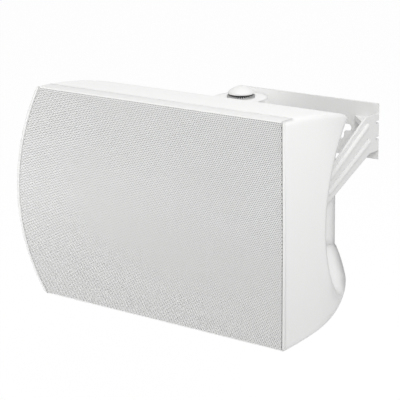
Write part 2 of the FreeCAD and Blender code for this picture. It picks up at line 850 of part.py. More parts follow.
def woofer():
    flange = s.woofer_flange
    hole = s.cone_radius + s.roll_width
    gauge = s.basket_gauge
    foot = s.magnet_radius + gauge
    frame = [
        (s.woofer_radius, 0), (s.woofer_radius, flange), (hole, flange), (hole, -flange),
        (foot, ledge), (s.spider_radius, ledge), (s.spider_radius, basket_back + gauge),
        (s.coil_radius + s.pole_plate, basket_back + gauge), (s.coil_radius + s.pole_plate, basket_back),
        (foot, basket_back), (foot + gauge, ledge), (woofer_neck, -flange), (woofer_neck, 0)]
    roll = s.roll_width * 0.53
    skin = s.cone_gauge
    glue = s.cone_radius - 2 * skin
    surround = [
        (hole + s.glue_width, flange), (hole + s.glue_width, flange + skin), (hole, flange + skin, roll, -1),
        (s.cone_radius, flange + skin), (glue, flange + skin), (glue, flange),
        (s.cone_radius, flange, roll, 1), (hole, flange)]
    neck = coil_outer + s.running_gap
    cone = [
        (s.cone_radius, flange), (s.cone_radius, flange - skin), (neck, cone_low - skin),
        (neck, cone_low), (glue, flange)]
    cap_edge = neck + s.cap_width
    cap_low = cone_low + s.cap_width * cone_depth / (glue - neck)
    cap_radius = (cap_edge * cap_edge + s.cap_rise * s.cap_rise) / (2 * s.cap_rise)
    dust_cap = [
        (0, cap_low + s.cap_rise), (0, cap_low + s.cap_rise + skin, cap_radius, 1),
        (cap_edge, cap_low + skin), (cap_edge, cap_low, cap_radius, -1)]
    coil = [
        (s.coil_radius, plate_back - s.coil_gauge), (coil_outer, plate_back - s.coil_gauge),
        (coil_outer, cone_low + skin), (s.coil_radius, cone_low + skin)]
    waves = 5
    pitch = (s.spider_radius - neck) / (2 * waves)
    zigzag = [(neck + pitch * step, ledge + s.spider_wave * (step % 2)) for step in range(2 * waves + 1)]
    zigzag.append((foot - s.running_gap, ledge))
    spider = zigzag + [(r, z + skin) for r, z in reversed(zigzag)]
    bore = coil_outer + s.gap_clearance
    top_plate = [(bore, plate_back), (s.magnet_radius, plate_back),
                 (s.magnet_radius, basket_back), (bore, basket_back)]
    magnet = [(bore + s.pole_plate, magnet_back), (s.magnet_radius, magnet_back),
              (s.magnet_radius, plate_back), (bore + s.pole_plate, plate_back)]
    pole = s.coil_radius - s.gap_clearance
    yoke = [(0, yoke_back), (s.magnet_radius, yoke_back), (s.magnet_radius, magnet_back),
            (pole, magnet_back), (pole, basket_back), (0, basket_back)]
    profiles = {"surround": surround, "cone": cone, "dust_cap": dust_cap, "voice_coil": coil,
                "spider": spider, "top_plate": top_plate, "magnet": magnet, "yoke": yoke}
    pieces = [woofer_piece(f"woofer_{name}", profile) for name, profile in profiles.items()]
    return [woofer_frame(frame)] + pieces


# Tweeter: soft dome behind a dished faceplate

def tweeter_piece(label, profile):
    return turned(label, profile, in_cabinet(tweeter_x, baffle_face, as_size(0)), to_front)


def tweeter_faceplate(profile):
    disc = turned("tweeter_disc", profile, (tweeter_x, baffle_face, as_size(0)), to_front)
    holes = screw_holes("tweeter_hole", driver_screw_spots()[4:], to_rear)
    return into_cabinet(cut("tweeter_faceplate", disc, holes))


def tweeter():
    flange = s.tweeter_flange
    mouth = s.dome_radius + s.dome_roll
    skin = s.dome_gauge
    plate = s.tweeter_plate
    low = -(plate + s.tweeter_magnet_height)
    faceplate = [(mouth + s.tweeter_dish, flange), (mouth, flange / 2), (mouth, 0),
                 (s.tweeter_radius, 0), (s.tweeter_radius, flange)]
    rim = s.dome_radius + s.dome_gauge
    glue = s.tweeter_glue
    inner, outer = rim + s.running_gap, mouth - s.running_gap
    surround = [(inner, 0), (outer, 0), (outer, skin), (inner, skin)]
    dome_inside = (s.dome_radius * s.dome_radius + s.dome_rise * s.dome_rise) / (2 * s.dome_rise)
    dome_outside = (rim * rim + s.dome_rise * s.dome_rise) / (2 * s.dome_rise)
    dome = [(0, s.dome_rise), (0, s.dome_rise + skin, dome_outside, 1), (rim, skin), (rim, 0),
            (s.dome_radius, 0, dome_inside, -1)]
    coil = [(s.dome_radius, -plate), (rim, -plate), (rim, 0), (s.dome_radius, 0)]
    bore = rim + s.gap_clearance
    outer = s.tweeter_magnet_radius
    top_plate = [(bore, -plate), (outer, -plate), (outer, 0), (bore, 0)]
    magnet = [(bore + glue, low + plate), (outer, low + plate), (outer, -plate), (bore + glue, -plate)]
    pole = s.dome_radius - s.gap_clearance
    yoke = [(0, low), (outer, low), (outer, low + plate), (pole, low + plate), (pole, -skin), (0, -skin)]
    profiles = {"surround": surround, "dome": dome, "voice_coil": coil,
                "top_plate": top_plate, "magnet": magnet, "yoke": yoke}
    pieces = [tweeter_piece(f"tweeter_{name}", profile) for name, profile in profiles.items()]
    return [tweeter_faceplate(faceplate)] + pieces


# Clamp knobs and their threaded inserts

def knob(label, position, turn):
    lift, radius = s.knob_lift, s.knob_radius
    rim_top = lift + s.knob_rim
    dome = (radius * radius + s.knob_dome * s.knob_dome) / (2 * s.knob_dome)
    bevel = s.knob_rim / 3
    profile = [
        (0, -s.shank_length), (s.shank_radius, -s.shank_length), (s.shank_radius, s.seat_gap),
        (s.knob_collar_radius, s.seat_gap), (s.knob_collar_radius, lift), (radius - bevel, lift),
        (radius, lift + bevel), (radius, rim_top, dome, -1), (0, rim_top + s.knob_dome)]
    return turned(label, profile, position, turn)


def insert(label, position, turn):
    bore = s.shank_radius + s.running_gap
    profile = [(bore, -s.insert_length), (s.insert_radius, -s.insert_length), (s.insert_radius, 0), (bore, 0)]
    return turned(label, profile, position, turn)


def knobs_and_inserts():
    side_face = arm_inner - s.seat_gap
    seats = {
        "top": ((0, 1), boss_height, boss_height, None),
        "bottom": ((0, -1), boss_height, boss_height, upside_down),
        "right": ((1, 0), half_span, side_face, along_x),
        "left": ((-1, 0), half_span, side_face, against_x),
    }
    knobs, inserts = [], []
    for name, ((across, up), seat, face, turn) in seats.items():
        knobs.append(knob(f"knob_{name}", in_cabinet(across * seat, as_size(0), up * seat), turn))
        inserts.append(insert(f"insert_{name}", in_cabinet(across * face, as_size(0), up * face), turn))
    return knobs + [group("threaded_inserts", inserts)]


# Rear terminals: a recessed cup with two screw posts, and the crossover board on its back

cup_floor = s.rear_depth - s.cup_depth


def terminal_cup():
    wide, tall, flange, wall = s.cup_width, s.cup_height, s.cup_flange, s.cup_wall
    tub_wide, tub_tall = wide - 2 * flange - 2 * s.seat_gap, tall - 2 * flange - 2 * s.seat_gap
    rim = block("cup_rim", (wide, wall, tall), (-wide / 2, s.rear_depth, -tall / 2))
    tub = block("cup_tub", (tub_wide, s.cup_depth, tub_tall), (-tub_wide / 2, cup_floor, -tub_tall / 2))
    inside = block("cup_inside", (tub_wide - 2 * wall, s.cup_depth + 2 * wall, tub_tall - 2 * wall),
                   (wall - tub_wide / 2, cup_floor + wall, wall - tub_tall / 2))
    holes = [rod(f"cup_post_hole{side + 1}", s.stud_radius, 3 * wall,
                 (side * s.post_spacing / 2, cup_floor - wall, as_size(0)), to_rear) for side in (-1, 1)]
    holes += screw_holes("cup_screw_hole", cup_screw_spots(), to_front)
    return into_cabinet(cut("terminal_cup", fused("cup_blank", [rim, tub]), [inside] + holes))


def cup_screw_spots():
    inset = s.cup_flange / 2
    return [(side * (s.cup_width / 2 - inset), s.rear_depth + s.cup_wall, level * (s.cup_height / 2 - inset))
            for side in (-1, 1) for level in (-1, 1)]


def terminals():
    """Two studs through the cup's floor, each with a screw cap that turns on it."""
    pieces = []
    for side, name in ((-1, "left"), (1, "right")):
        spot = in_cabinet(side * s.post_spacing / 2, cup_floor + s.cup_wall, as_size(0))
        inner = s.stud_radius - s.running_gap
        tail = -(s.cup_wall + s.standoff / 2)
        collar = s.cup_wall / 2
        tip = s.post_length - s.cup_wall
        stud = [(0, tail), (s.stud_radius, tail), (s.stud_radius, 0), (s.post_radius, 0),
                (s.post_radius, collar), (inner, collar), (inner, tip), (0, tip)]
        low, roof = collar + s.seat_gap, tip + s.seat_gap
        cap = [(s.stud_radius, low), (s.post_radius, low), (s.post_radius, s.post_length - collar),
               (s.post_radius - collar, s.post_length), (0, s.post_length), (0, roof), (s.stud_radius, roof)]
        pieces.append(turned(f"terminal_stud_{name}", stud, spot, to_rear))
        pieces.append(turned(f"terminal_cap_{name}", cap, spot, to_rear))
    screws = [screw(f"cup_screw{number}", in_cabinet(*spot), to_rear, s.cup_flange / 2 - s.seat_gap)
              for number, spot in enumerate(cup_screw_spots())]
    pieces.append(group("terminal_screws", screws))
    return pieces


def crossover():
    """Board on four standoffs behind the cup, with a coil, two capacitors and two resistors."""
    board_back = cup_floor - s.standoff
    board_front = board_back - s.board_gauge
    half_board, half_tall = s.board_width / 2, s.board_height / 2
    board = block("crossover_board", (s.board_width, s.board_gauge, s.board_height),
                  in_cabinet(-half_board, board_front, -half_tall))
    legs = []
    reach_x, reach_z = s.cup_width / 2 - 3 * s.cup_flange, s.cup_height / 2 - 2 * s.cup_flange
    for side in (-1, 1):
        for level in (-1, 1):
            legs.append(rod(f"standoff{side + 1}{level + 1}", s.cup_flange / 2, s.standoff,
                            in_cabinet(side * reach_x, board_back, level * reach_z), to_rear))
    bobbin = s.board_height / 4
    coil_profile = [(bobbin / 2, 0), (bobbin, 0), (bobbin, bobbin), (bobbin / 2, bobbin)]
    coil_spot = in_cabinet(-half_board / 2, board_front, as_size(0))
    coil = turned("crossover_coil", coil_profile, coil_spot, to_front)
    can = s.board_height / 9
    cans = [rod(f"capacitor{level + 1}", can, 3 * can,
                in_cabinet(half_board / 3, board_front - can, level * half_tall / 2), along_x)
            for level in (-1, 1)]
    bar = s.board_height / 12
    bars = [block(f"resistor{level + 1}", (3 * bar, bar, bar),
                  in_cabinet(half_board / 4, board_front - bar, level * bar - bar / 2)) for level in (-1, 1)]
    return [board, group("crossover_standoffs", legs), coil, group("crossover_capacitors", cans),
            group("crossover_resistors", bars)]


nodes = [wall_bracket(), cabinet(), grille(), grille_scrim(), baffle(), grille_screws(), baffle_screws()]
nodes += driver_screws() + woofer() + tweeter() + knobs_and_inserts()
nodes += [terminal_cup()] + terminals() + crossover()

doc.recompute()

failed = [thing.Name for thing in doc.Objects if "Invalid" in thing.State or "Error" in thing.State]
if failed:
    raise SystemExit(f"failed features: {failed}")
for node in nodes:
    if node.Shape.isNull() or not node.Shape.isValid():
        raise SystemExit(f"bad shape: {node.Label}")

os.makedirs("parts", exist_ok=True)
for node in nodes:
    node.Shape.exportStep(f"parts/{node.Label}.step")
    print(node.Label, len(node.Shape.Solids), round(node.Shape.Volume / 1000, 2), "cm3")
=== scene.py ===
import math

import bpy
import numpy as np
from mathutils import Matrix, Vector


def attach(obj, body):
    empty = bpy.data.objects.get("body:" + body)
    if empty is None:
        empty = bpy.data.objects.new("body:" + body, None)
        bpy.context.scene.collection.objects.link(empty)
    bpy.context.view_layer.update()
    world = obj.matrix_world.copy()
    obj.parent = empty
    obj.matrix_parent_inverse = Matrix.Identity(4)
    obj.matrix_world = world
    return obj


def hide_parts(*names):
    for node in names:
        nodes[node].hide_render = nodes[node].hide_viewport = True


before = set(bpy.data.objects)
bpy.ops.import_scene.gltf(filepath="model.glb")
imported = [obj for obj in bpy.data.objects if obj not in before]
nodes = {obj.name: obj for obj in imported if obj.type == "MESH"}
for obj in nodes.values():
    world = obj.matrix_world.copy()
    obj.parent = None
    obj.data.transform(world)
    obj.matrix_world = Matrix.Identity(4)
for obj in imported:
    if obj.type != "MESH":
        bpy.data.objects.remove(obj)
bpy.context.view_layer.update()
pivot = Vector((0, -0.113, -0.038))  # tilt axis, the cabinet's own zero
smoothAngle = math.radians(35)  # steeper edges stay crisp


# small wrapper so that shader maths reads like maths

class Flow:
    def __init__(self, shader, socket):
        self.shader = shader
        self.socket = socket

    def calc(self, operation, *values):
        return self.shader.add("ShaderNodeMath", {"operation": operation}, dict(enumerate(values)))

    def __add__(self, other):
        return self.calc("ADD", self, other)

    def __radd__(self, other):
        return self.calc("ADD", other, self)

    def __sub__(self, other):
        return self.calc("SUBTRACT", self, other)

    def __rsub__(self, other):
        return self.calc("SUBTRACT", other, self)

    def __mul__(self, other):
        return self.calc("MULTIPLY", self, other)

    def __rmul__(self, other):
        return self.calc("MULTIPLY", other, self)

    def __pow__(self, other):
        return self.calc("POWER", self, other)

    def __rpow__(self, other):
        return self.calc("POWER", other, self)

    def sine(self):
        return self.calc("SINE", self)

    def lifted(self):
        return self * 0.5 + 0.5  # from -1..1 to 0..1


# sockets of the Mix node share their names, so they go by number: first, second, result
mixSockets = {"RGBA": (6, 7, 2), "VECTOR": (4, 5, 1)}
noiseMiddle = 0.5  # noise swings about this value


class Shader:
    def __init__(self, owner):
        self.owner = owner  # a material or the world
        owner.use_nodes = True
        self.tree = owner.node_tree
        self.tree.nodes.clear()

    def add(self, kind, settings=None, values=None, output=0):
        node = self.tree.nodes.new(kind)
        for key, setting in (settings or {}).items():
            setattr(node, key, setting)
        for key, value in (values or {}).items():
            self.feed(node.inputs[key], value)
        return Flow(self, node.outputs[output]) if node.outputs else None

    def feed(self, socket, value):
        if isinstance(value, Flow):
            self.tree.links.new(value.socket, socket)
        else:
            socket.default_value = (*value, 1) if socket.type == "RGBA" else value

    def place(self):
        return self.add("ShaderNodeTexCoord", output="Object")

    def axes(self, vector):
        parts = self.add("ShaderNodeSeparateXYZ", values={0: vector})
        return [Flow(self, socket) for socket in parts.socket.node.outputs]

    def noise(self, vector, scale, detail=3.0, rough=0.55):
        return self.add("ShaderNodeTexNoise", values={
            "Vector": vector, "Scale": scale, "Detail": detail, "Roughness": rough})

    def mixed(self, share, first, second, kind="RGBA"):
        one, two, result = mixSockets[kind]
        return self.add("ShaderNodeMix", {"data_type": kind}, {0: share, one: first, two: second}, result)

    def ramped(self, value, start, end):
        return self.add("ShaderNodeMapRange", {"interpolation_type": "SMOOTHSTEP"}, {
            "Value": value, "From Min": start, "From Max": end})

    def bump(self, height, strength, distance, below=None):
        values = {"Height": height, "Strength": strength, "Distance": distance}
        if below is not None:
            values["Normal"] = below
        return self.add("ShaderNodeBump", values=values)

    def soft(self, radius):
        return self.add("ShaderNodeBevel", {"samples": 6}, {"Radius": radius})

    def shownRays(self):
        # what the camera sees, straight or in a shiny or clear surface
        rays = self.add("ShaderNodeLightPath").socket.node.outputs
        straight, shiny, clear = (Flow(self, rays[f"Is {kind} Ray"]) for kind in (
            "Camera", "Glossy", "Transmission"))
        return straight + shiny + clear

    def close(self, shade, kind="ShaderNodeOutputMaterial"):
        self.add(kind, values={"Surface": shade})
        return self.owner

    def finish(self, **values):
        named = {key.replace("_", " "): value for key, value in values.items()}
        return self.close(self.add("ShaderNodeBsdfPrincipled", values=named))


def dimmed(colour, share):
    return tuple(part * share for part in colour)


# paint, moulded plastic, metal and board: a slow drift of tone, a fine grain and softened edges

whitePaint = {"colour": (0.785, 0.785, 0.78), "drift": 0.02, "cloudScale": 12.0, "grainScale": 2600.0,
              "rough": 0.42, "roughDrift": 0.1, "grainStrength": 0.08, "grainDepth": 0.00012,
              "softEdge": 0.0009}
cabinetSkin = {"colour": (0.85, 0.85, 0.845), "drift": 0.015, "cloudScale": 8.0, "grainScale": 1500.0,
               "rough": 0.5, "roughDrift": 0.12, "grainStrength": 0.12, "grainDepth": 0.0003,
               "softEdge": 0.006,
               "roundZone": {"height": (-0.035, -0.055), "depth": (-0.2, -0.175), "radius": 0.016}}
knobSkin = {"colour": (0.78, 0.78, 0.775), "drift": 0.02, "cloudScale": 30.0, "grainScale": 1100.0,
            "rough": 0.6, "roughDrift": 0.08, "grainStrength": 0.05, "grainDepth": 0.0002,
            "softEdge": 0.0006}
blackPlastic = {"colour": (0.045, 0.045, 0.047), "drift": 0.25, "cloudScale": 40.0, "grainScale": 1800.0,
                "rough": 0.48, "roughDrift": 0.15, "grainStrength": 0.15, "grainDepth": 0.0003,
                "softEdge": 0.0004}
redPlastic = dict(blackPlastic, colour=(0.42, 0.018, 0.02), rough=0.36)
basketLook = dict(blackPlastic, colour=(0.035, 0.035, 0.036), rough=0.4, coat=0.2)
rubberLook = dict(blackPlastic, colour=(0.022, 0.022, 0.023), rough=0.62)
boardLook = {"colour": (0.055, 0.052, 0.05), "drift": 0.5, "cloudScale": 160.0, "grainScale": 700.0,
             "rough": 0.7, "roughDrift": 0.15, "grainStrength": 0.3, "grainDepth": 0.0006}
zincLook = {"colour": (0.62, 0.61, 0.58), "drift": 0.15, "cloudScale": 120.0, "grainScale": 900.0,
            "rough": 0.35, "roughDrift": 0.2, "grainStrength": 0.1, "grainDepth": 0.0002,
            "metal": 1.0, "softEdge": 0.0003}
brassLook = dict(zincLook, colour=(0.72, 0.55, 0.26), rough=0.3)
ferriteLook = {"colour": (0.06, 0.06, 0.065), "drift": 0.4, "cloudScale": 200.0, "grainScale": 1600.0,
               "rough": 0.6, "roughDrift": 0.2, "grainStrength": 0.35, "grainDepth": 0.0004,
               "metal": 0.2, "softEdge": 0.0006}
laminateLook = {"colour": (0.06, 0.22, 0.08), "drift": 0.35, "cloudScale": 90.0, "grainScale": 1300.0,
                "rough": 0.35, "roughDrift": 0.1, "grainStrength": 0.1, "grainDepth": 0.0002, "coat": 0.3}
filmLook = dict(laminateLook, colour=(0.55, 0.42, 0.1), drift=0.15)
ceramicLook = {"colour": (0.78, 0.77, 0.72), "drift": 0.08, "cloudScale": 150.0, "grainScale": 900.0,
               "rough": 0.75, "roughDrift": 0.1, "grainStrength": 0.3, "grainDepth": 0.0004,
               "softEdge": 0.0005}


def grained(name, look):
    shader = Shader(bpy.data.materials.new(name))
    spot = shader.place()
    cloud = shader.noise(spot, look["cloudScale"], detail=4.0)
    grain = shader.noise(spot, look["grainScale"], detail=2.0, rough=0.6)
    colour = shader.mixed(cloud, dimmed(look["colour"], 1 - look["drift"]), look["colour"])
    rough = look["rough"] + (grain - noiseMiddle) * look["roughDrift"]
    below = shader.soft(look["softEdge"]) if look.get("softEdge") else None
    if look.get("roundZone"):
        # the scoops at the ends run out into the tail with a much larger rounding
        zone = look["roundZone"]
        _, y, z = shader.axes(spot)
        low = shader.ramped(z, *zone["height"])
        rear = shader.ramped(y, *zone["depth"])
        below = shader.mixed(low * rear, below, shader.soft(zone["radius"]), "VECTOR")
    normal = shader.bump(grain, look["grainStrength"], look["grainDepth"], below)
    return shader.finish(Base_Color=colour, Roughness=rough, Metallic=look.get("metal", 0.0),
                         Coat_Weight=look.get("coat", 0.0), Normal=normal)


# cloth: two crossing threads with some fuzz

clothLook = {"gap": 0.5, "weaveShare": 0.75, "strength": 0.6, "depthShare": 0.25, "roughDrift": 0.1}
scrimLook = dict(clothLook, colour=(0.03, 0.03, 0.03), thread=0.0009, fuzzScale=700.0, rough=0.85)
spiderLook = dict(clothLook, colour=(0.62, 0.42, 0.16), gap=0.55, thread=0.0011, fuzzScale=500.0, rough=0.7)
silkLook = dict(clothLook, colour=(0.03, 0.03, 0.033), thread=0.0006, fuzzScale=900.0, rough=0.5)


def woven(name, look):
    shader = Shader(bpy.data.materials.new(name))
    spot = shader.place()
    x, y, z = shader.axes(spot)
    turns = 2 * math.pi / look["thread"]
    weave = ((x * turns).sine() * ((z + y) * turns).sine()).lifted()
    fuzz = shader.noise(spot, look["fuzzScale"])
    shade = weave * look["weaveShare"] + fuzz * (1 - look["weaveShare"])
    colour = shader.mixed(shade, dimmed(look["colour"], look["gap"]), look["colour"])
    normal = shader.bump(weave, look["strength"], look["thread"] * look["depthShare"])
    return shader.finish(Base_Color=colour, Roughness=look["rough"] + fuzz * look["roughDrift"],
                         Normal=normal)


# windings, fibres or turning marks about an axis through the given middle

ringLook = {"middle": (-0.046, -0.038), "tintShare": 0.5, "reliefShare": 0.7, "roughDrift": 0.15}
coneLook = dict(ringLook, colour=(0.05, 0.05, 0.053), low=0.5, pitch=0.004, slant=0.0, fleckScale=600.0,
                strength=0.25, depth=0.0004, rough=0.62)
coilLook = dict(ringLook, colour=(0.68, 0.31, 0.13), low=0.55, pitch=0.0005, slant=1.0, fleckScale=800.0,
                strength=0.5, depth=0.0002, rough=0.32, metal=1.0)


def ringed(name, look):
    shader = Shader(bpy.data.materials.new(name))
    spot = shader.place()
    x, y, z = shader.axes(spot)
    dx, dz = x - look["middle"][0], z - look["middle"][1]
    radius = (dx * dx + dz * dz) ** 0.5
    wave = ((radius + y * look["slant"]) * (2 * math.pi / look["pitch"])).sine().lifted()
    fleck = shader.noise(spot, look["fleckScale"])
    tint = wave * look["tintShare"] + fleck * (1 - look["tintShare"])
    relief = wave * look["reliefShare"] + fleck * (1 - look["reliefShare"])
    return shader.finish(Base_Color=shader.mixed(tint, dimmed(look["colour"], look["low"]), look["colour"]),
                         Roughness=look["rough"] + (fleck - noiseMiddle) * look["roughDrift"],
                         Metallic=look.get("metal", 0.0),
                         Normal=shader.bump(relief, look["strength"], look["depth"]))


looks = {
    "wall_bracket": grained("bracketPowderCoat", whitePaint),
    "cabinet": grained("cabinetMouldedWhite", cabinetSkin),
    "grille": grained("grillePowderCoat", dict(whitePaint, softEdge=0)),
    # the folded flange: the grille's own paint made darker, painted shade on the strip over the cabinet's top
    "grilleFoldShade": grained("grilleFoldPaint", dict(whitePaint, colour=(0.74, 0.74, 0.735), softEdge=0)),
    "grille_scrim": woven("scrimCloth", scrimLook),
    "baffle": grained("baffleBoard", boardLook),
    "screwsWhite": grained("screwWhitePaint", dict(whitePaint, softEdge=0.0004)),
    "screwsZinc": grained("screwZinc", zincLook),
    "woofer_frame": grained("basketBlackPaint", basketLook),
    "woofer_surround": grained("rollRubber", rubberLook),
    "woofer_cone": ringed("conePaper", coneLook),
    "coil": ringed("coilCopper", coilLook),
    "woofer_spider": woven("spiderCloth", spiderLook),
    "steel": grained("motorSteel", zincLook),
    "ferrite": grained("magnetFerrite", ferriteLook),
    "tweeter_faceplate": grained("faceplateBlack", blackPlastic),
    "dome": woven("domeSilk", silkLook),
    "knob": grained("knobWhite", knobSkin),
    "brass": grained("insertBrass", brassLook),
    "terminal_cup": grained("cupBlack", blackPlastic),
    "terminal_cap_left": grained("capBlack", dict(blackPlastic, rough=0.32)),
    "terminal_cap_right": grained("capRed", redPlastic),
    "crossover_board": grained("boardLaminate", laminateLook),
    "crossover_standoffs": grained("standoffNylon", ceramicLook),
    "crossover_capacitors": grained("capacitorFilm", filmLook),
    "crossover_resistors": grained("resistorCeramic", ceramicLook),
}
sameLook = {
    "grille_screws": "screwsWhite", "baffle_screws": "screwsZinc", "woofer_screws": "screwsZinc",
    "tweeter_screws": "screwsZinc", "terminal_screws": "screwsZinc", "woofer_dust_cap": "woofer_cone",
    "woofer_voice_coil": "coil", "tweeter_voice_coil": "coil", "crossover_coil": "coil",
    "woofer_top_plate": "steel", "woofer_yoke": "steel", "tweeter_top_plate": "steel",
    "tweeter_yoke": "steel", "woofer_magnet": "ferrite", "tweeter_magnet": "ferrite",
    "tweeter_surround": "dome", "tweeter_dome": "dome", "threaded_inserts": "brass",
    "terminal_stud_left": "brass", "terminal_stud_right": "brass",
    "knob_top": "knob", "knob_bottom": "knob", "knob_left": "knob", "knob_right": "knob",
}
for name, node in nodes.items():
    node.data.materials.clear()
    node.data.materials.append(looks[sameLook.get(name, name)])
print("materials on", len(nodes), "nodes")


# mesh helpers

def onlyActive(piece):
    bpy.ops.object.select_all(action="DESELECT")
    piece.select_set(True)
    bpy.context.view_layer.objects.active = piece


def points(piece):
    places = np.zeros(len(piece.data.vertices) * 3)
    piece.data.vertices.foreach_get("co", places)
    return places.reshape(-1, 3)


def setPoints(piece, places):
    piece.data.vertices.foreach_set("co", places.reshape(-1))
    piece.data.update()


def faceValues(piece, key, kind=float):
    values = np.zeros(len(piece.data.polygons), kind)
    piece.data.polygons.foreach_get(key, values)
    return values


def faceVectors(piece, key):
    vectors = np.zeros(len(piece.data.polygons) * 3)
    piece.data.polygons.foreach_get(key, vectors)
    return vectors.reshape(-1, 3)


def pickEdges(piece, wanted):
    ends = np.array([edge.vertices[:] for edge in piece.data.edges])
    chosen = np.zeros(len(piece.data.vertices), bool)
    chosen[ends[wanted]] = True
    piece.data.vertices.foreach_set("select", chosen)
    piece.data.edges.foreach_set("select", wanted)
    piece.data.polygons.foreach_set("select", np.zeros(len(piece.data.polygons), bool))
    onlyActive(piece)
    bpy.ops.object.mode_set(mode="EDIT")
    bpy.ops.mesh.select_mode(type="EDGE")


def pickFaces(piece, wanted):
    piece.data.vertices.foreach_set("select", np.zeros(len(piece.data.vertices), bool))
    piece.data.edges.foreach_set("select", np.zeros(len(piece.data.edges), bool))
    piece.data.polygons.foreach_set("select", wanted)
    onlyActive(piece)
    bpy.ops.object.mode_set(mode="EDIT")
    bpy.ops.mesh.select_mode(type="FACE")


def dropFaces(piece, wanted):
    pickFaces(piece, wanted)
    bpy.ops.mesh.delete(type="FACE")
    bpy.ops.object.mode_set(mode="OBJECT")


# perforated grille: one six-sided cell with a hole, repeated, then curved to the front

grilleSize = {
    "halfHeight": 0.100, "halfWidth": 0.150, "front": -0.1295, "crown": 0.0188, "bow": 0.013,
    "edgeGap": 0.0040, "gauge": 0.0012, "panels": 4,
    "pitch": 0.00181, "hole": 0.00064, "cellSides": 6, "spareCells": 3,
    "border": 0.0014, "endBorder": -0.0004,  # holes at the ends run out past the edge
    "weld": 1e-6, "merge": 2e-5, "sliver": 4e-9, "facing": 0.9,
    "fold": 0.0007, "foldSteps": 4, "flange": 0.0126, "endReach": 0.0008, "ledge": 0.0021,
    "ledgeDrop": 0.0010, "touch": 1e-5,
    "screwAcross": 0.108, "screwBack": 0.011, "screwHole": 0.00225, "screwSides": 32, "punchGauges": 4,
}


def arcRadius(half, rise):
    return (half ** 2 + rise ** 2) / (2 * rise)


def flatCells(g, reach):
    pitch, row = g["pitch"], g["pitch"] * math.sqrt(3) / 2
    bpy.ops.object.select_all(action="DESELECT")
    bpy.ops.mesh.primitive_circle_add(vertices=g["cellSides"], radius=pitch / math.sqrt(3), fill_type="NGON")
    sheet = bpy.context.object
    bpy.ops.object.mode_set(mode="EDIT")
    bpy.ops.mesh.select_all(action="SELECT")
    bpy.ops.mesh.inset(thickness=pitch / 2 - g["hole"])
    bpy.ops.mesh.select_all(action="SELECT")
    bpy.ops.mesh.duplicate_move(TRANSFORM_OT_translate={"value": (pitch / 2, row, 0)})
    bpy.ops.mesh.select_all(action="SELECT")
    bpy.ops.mesh.remove_doubles(threshold=g["weld"])
    bpy.ops.object.mode_set(mode="OBJECT")
    columns = int(g["halfWidth"] * 2 / pitch) + g["spareCells"]
    rows = int(reach * 2 / (2 * row)) + g["spareCells"]
    for count, step in ((columns, (pitch, 0, 0)), (rows, (0, 2 * row, 0))):
        repeat = sheet.modifiers.new("repeat", "ARRAY")
        repeat.count = count
        repeat.use_relative_offset = False
        repeat.use_constant_offset = True
        repeat.constant_offset_displace = step
        repeat.use_merge_vertices = True
        repeat.merge_threshold = g["weld"]
        onlyActive(sheet)
        bpy.ops.object.modifier_apply(modifier=repeat.name)
    places = points(sheet)
    places[:, 0] -= (columns // 2) * pitch
    places[:, 1] -= (rows // 2) * 2 * row
    setPoints(sheet, places)
    print("grille cells", columns * rows * 2)
    return sheet


def openAndTrim(sheet, g, reach, widthAt):
    # open the holes inside the plain border, and drop cells that lie wholly outside
    middles = faceVectors(sheet, "center")
    across, along, width = np.abs(middles[:, 0]), np.abs(middles[:, 1]), widthAt(middles[:, 1])
    inside = (across < width - g["endBorder"]) & (along < reach - g["border"])
    far = (across > width + g["pitch"]) | (along > reach + g["pitch"])
    hole = faceValues(sheet, "loop_total", int) == g["cellSides"]
    dropFaces(sheet, (hole & inside) | far)

    # edge cells pulled in to the sheet's outline, and what that flattens or turns over dropped
    places = points(sheet)
    last = reach - g["fold"]
    places[:, 1] = np.clip(places[:, 1], -last, last)
    limit = widthAt(places[:, 1])
    places[:, 0] = np.clip(places[:, 0], -limit, limit)
    setPoints(sheet, places)
    onlyActive(sheet)
    bpy.ops.object.mode_set(mode="EDIT")
    bpy.ops.mesh.select_all(action="SELECT")
    bpy.ops.mesh.remove_doubles(threshold=g["merge"])
    bpy.ops.object.mode_set(mode="OBJECT")
    small = faceValues(sheet, "area") < g["sliver"]
    dropFaces(sheet, small | (faceVectors(sheet, "normal")[:, 2] < g["facing"]))


def perforatedPanels(g):
    frontRadius = arcRadius(g["halfHeight"], g["crown"])
    bowRadius = arcRadius(g["halfHeight"], g["bow"])
    reach = frontRadius * math.asin(g["halfHeight"] / frontRadius)

    def widthAt(run):
        height = frontRadius * np.sin(np.clip(run, -reach, reach) / frontRadius)
        return g["halfWidth"] - bowRadius + np.sqrt((bowRadius - g["edgeGap"]) ** 2 - height ** 2)

    sheet = flatCells(g, reach)
    openAndTrim(sheet, g, reach, widthAt)

    # cut into upright strips along cell borders, give each its gauge and lay it on the crowned front
    panels = [sheet]
    for number in range(1, g["panels"]):
        rest = panels[-1]
        edge = (2 * number / g["panels"] - 1) * g["halfWidth"]
        pickFaces(rest, faceVectors(rest, "center")[:, 0] > edge)
        bpy.ops.mesh.separate(type="SELECTED")
        bpy.ops.object.mode_set(mode="OBJECT")
        panels.append(next(piece for piece in bpy.context.selected_objects if piece is not rest))
    centre = g["front"] - g["crown"] + frontRadius
    for panel in panels:
        onlyActive(panel)
        gauge = panel.modifiers.new("gauge", "SOLIDIFY")
        gauge.thickness = g["gauge"]
        gauge.offset = -1
        bpy.ops.object.modifier_apply(modifier=gauge.name)
        places = points(panel)
        turn = places[:, 1] / frontRadius
        radius = frontRadius + places[:, 2]
        laid = np.stack([places[:, 0], centre - radius * np.cos(turn), radius * np.sin(turn)], axis=1)
        setPoints(panel, laid + np.array(pivot))
        bpy.ops.object.shade_smooth_by_angle(angle=smoothAngle)
    return panels


